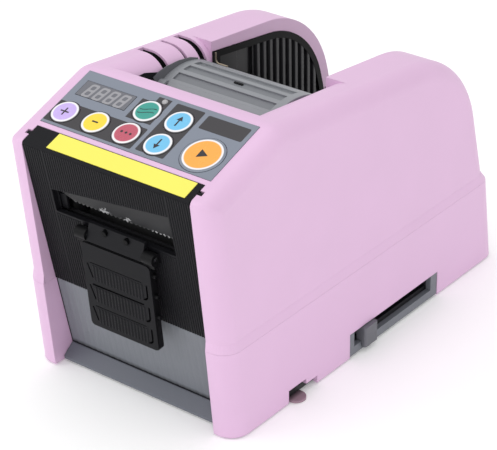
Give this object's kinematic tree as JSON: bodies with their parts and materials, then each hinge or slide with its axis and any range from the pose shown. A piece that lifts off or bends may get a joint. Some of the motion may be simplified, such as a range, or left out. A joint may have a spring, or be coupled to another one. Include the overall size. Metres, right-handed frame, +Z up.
{
  "type": "automatic tape dispenser",
  "caption": "Automatic tape dispenser: pink two-wall body with an open tape bay, sloping keypad, hinged black front cover with tape outlet, drive rollers and a sliding cutter blade.",
  "frame": {"origin": "on the table, under the middle of the body's outer box", "axes": "+Z up; the front, with the outlet, faces -Y; +X is the side with the slide knob"},
  "size_m": [0.136, 0.2414, 0.1488],
  "materials": {
    "pink": "fine satin moulded plastic, pale pink",
    "gray": "satin moulded plastic, gray",
    "black": "satin black plastic",
    "yellow_film": "bare yellow film",
    "overlay": "printed film, gray with dark fields",
    "smoked": "smoked window",
    "lens": "clear lens, unlit",
    "key_lavender": "domed key, white rim",
    "key_yellow": "domed key, white rim",
    "key_maroon": "domed key, white rim",
    "key_green": "domed key, white rim",
    "key_blue": "domed key, white rim",
    "key_orange": "domed key, white rim",
    "white_plastic": "natural nylon",
    "board": "circuit board",
    "zinc": "zinc-plated steel sheet",
    "steel": "ground steel",
    "black_steel": "black-coated steel, worn bright at the teeth",
    "rubber": "black rubber"
  },
  "bodies": {
    "housing": {"upper_housing": "pink", "lower_housing": "pink", "base_plate": "gray", "lower_front_panel": "gray", "left_bay_liner": "black", "right_bay_liner": "black", "panel_overlay": "overlay", "display_window": "smoked", "display_module": "black", "status_led": "lens", "key_switches": "black", "control_board": "board", "reel_axle": "gray", "left_frame": "zinc", "right_frame": "zinc", "frame_spacers": "steel", "feed_motor": "zinc", "fixed_blade": "black_steel", "blade_bar": "zinc", "cutter_motor": "zinc", "suction_feet": "rubber", "slider_rail": "gray", "power_inlet": "black", "switch_frame": "black", "power_board": "board", "housing_screws": "steel"},
    "front_cover": {"front_cover": "black", "accent_strip": "yellow_film", "outlet_bracket": "black", "bracket_pins": "black", "flap_hinge_pin": "steel"},
    "outlet_flap": {"outlet_flap": "black"},
    "guide_cover": {"guide_cover": "gray", "guide_cover_pins": "steel", "tape_guide_wire": "steel", "guide_roller_shaft": "steel"},
    "guide_roller": {"guide_roller": "white_plastic"},
    "reel": {"reel_hub": "black"},
    "feed": {"feed_roller": "rubber", "feed_roller_shaft": "steel", "feed_gear": "white_plastic"},
    "pinch": {"pinch_roller": "rubber", "pinch_roller_shaft": "steel"},
    "pinion": {"motor_pinion": "white_plastic"},
    "blade": {"moving_blade": "steel", "blade_carrier": "zinc"},
    "crank": {"cutter_crank": "gray"},
    "knob": {"slide_knob": "gray"},
    "rocker": {"switch_rocker": "black"},
    "key_plus": {"key_plus": "key_lavender"},
    "key_minus": {"key_minus": "key_yellow"},
    "key_select": {"key_select": "key_maroon"},
    "key_mode": {"key_mode": "key_green"},
    "key_up": {"key_up": "key_blue"},
    "key_down": {"key_down": "key_blue"},
    "key_start": {"key_start": "key_orange"}
  },
  "joints": [
    {"name": "cover_hinge", "type": "hinge", "parent": "housing", "child": "front_cover", "pos_m": [0, -0.11373, 0.13182], "axis": [-1, 0, 0], "range_deg": [0, 75]},
    {"name": "flap_hinge", "type": "hinge", "parent": "front_cover", "child": "outlet_flap", "pos_m": [0, -0.1161, 0.09063], "axis": [-1, 0, 0], "range_deg": [0, 40]},
    {"name": "guide_hinge", "type": "hinge", "parent": "housing", "child": "guide_cover", "pos_m": [0, -0.03914, 0.13339], "axis": [1, 0, 0], "range_deg": [0, 60]},
    {"name": "guide_roller_spin", "type": "hinge", "parent": "guide_cover", "child": "guide_roller", "pos_m": [0, -0.02275, 0.1299], "axis": [1, 0, 0], "continuous": true},
    {"name": "reel_spin", "type": "hinge", "parent": "housing", "child": "reel", "pos_m": [0, 0.029, 0.055], "axis": [1, 0, 0], "continuous": true},
    {"name": "feed_spin", "type": "hinge", "parent": "housing", "child": "feed", "pos_m": [0, -0.086, 0.0889], "axis": [1, 0, 0], "continuous": true},
    {"name": "pinch_spin", "type": "hinge", "parent": "housing", "child": "pinch", "pos_m": [0, -0.086, 0.1062], "axis": [1, 0, 0], "continuous": true},
    {"name": "pinion_spin", "type": "hinge", "parent": "housing", "child": "pinion", "pos_m": [0, -0.086, 0.0629], "axis": [1, 0, 0], "continuous": true},
    {"name": "blade_slide", "type": "slide", "parent": "housing", "child": "blade", "axis": [0, -0.1987, 0.9801], "range_m": [0, 0.00771]},
    {"name": "crank_turn", "type": "hinge", "parent": "housing", "child": "crank", "pos_m": [0, -0.07835, 0.04236], "axis": [-1, 0, 0], "range_deg": [0, 80]},
    {"name": "knob_slide", "type": "slide", "parent": "housing", "child": "knob", "axis": [0, 1, 0], "range_m": [0, 0.05]},
    {"name": "rocker_tilt", "type": "hinge", "parent": "housing", "child": "rocker", "pos_m": [0.02, 0.11516, 0.02571], "axis": [0, 0.1429, -0.9897], "range_deg": [0, 18]},
    {"name": "key_plus_press", "type": "slide", "parent": "housing", "child": "key_plus", "axis": [0, 0.3291, -0.9443], "range_m": [0, 0.0006], "stiffness_N_per_m": 400},
    {"name": "key_minus_press", "type": "slide", "parent": "housing", "child": "key_minus", "axis": [0, 0.3291, -0.9443], "range_m": [0, 0.0006], "stiffness_N_per_m": 400},
    {"name": "key_select_press", "type": "slide", "parent": "housing", "child": "key_select", "axis": [0, 0.3291, -0.9443], "range_m": [0, 0.0006], "stiffness_N_per_m": 400},
    {"name": "key_mode_press", "type": "slide", "parent": "housing", "child": "key_mode", "axis": [0, 0.3291, -0.9443], "range_m": [0, 0.0006], "stiffness_N_per_m": 400},
    {"name": "key_up_press", "type": "slide", "parent": "housing", "child": "key_up", "axis": [0, 0.3291, -0.9443], "range_m": [0, 0.0006], "stiffness_N_per_m": 400},
    {"name": "key_down_press", "type": "slide", "parent": "housing", "child": "key_down", "axis": [0, 0.3291, -0.9443], "range_m": [0, 0.0006], "stiffness_N_per_m": 400},
    {"name": "key_start_press", "type": "slide", "parent": "housing", "child": "key_start", "axis": [0, 0.3291, -0.9443], "range_m": [0, 0.0006], "stiffness_N_per_m": 400}
  ],
  "couplings": [
    {"joint": "pinion_spin", "follows": "feed_spin", "ratio": -3.3333},
    {"joint": "pinch_spin", "follows": "feed_spin", "ratio": -1.4286},
    {"joint": "crank_turn", "follows": "blade_slide", "rad_per_m": 181.02}
  ]
}
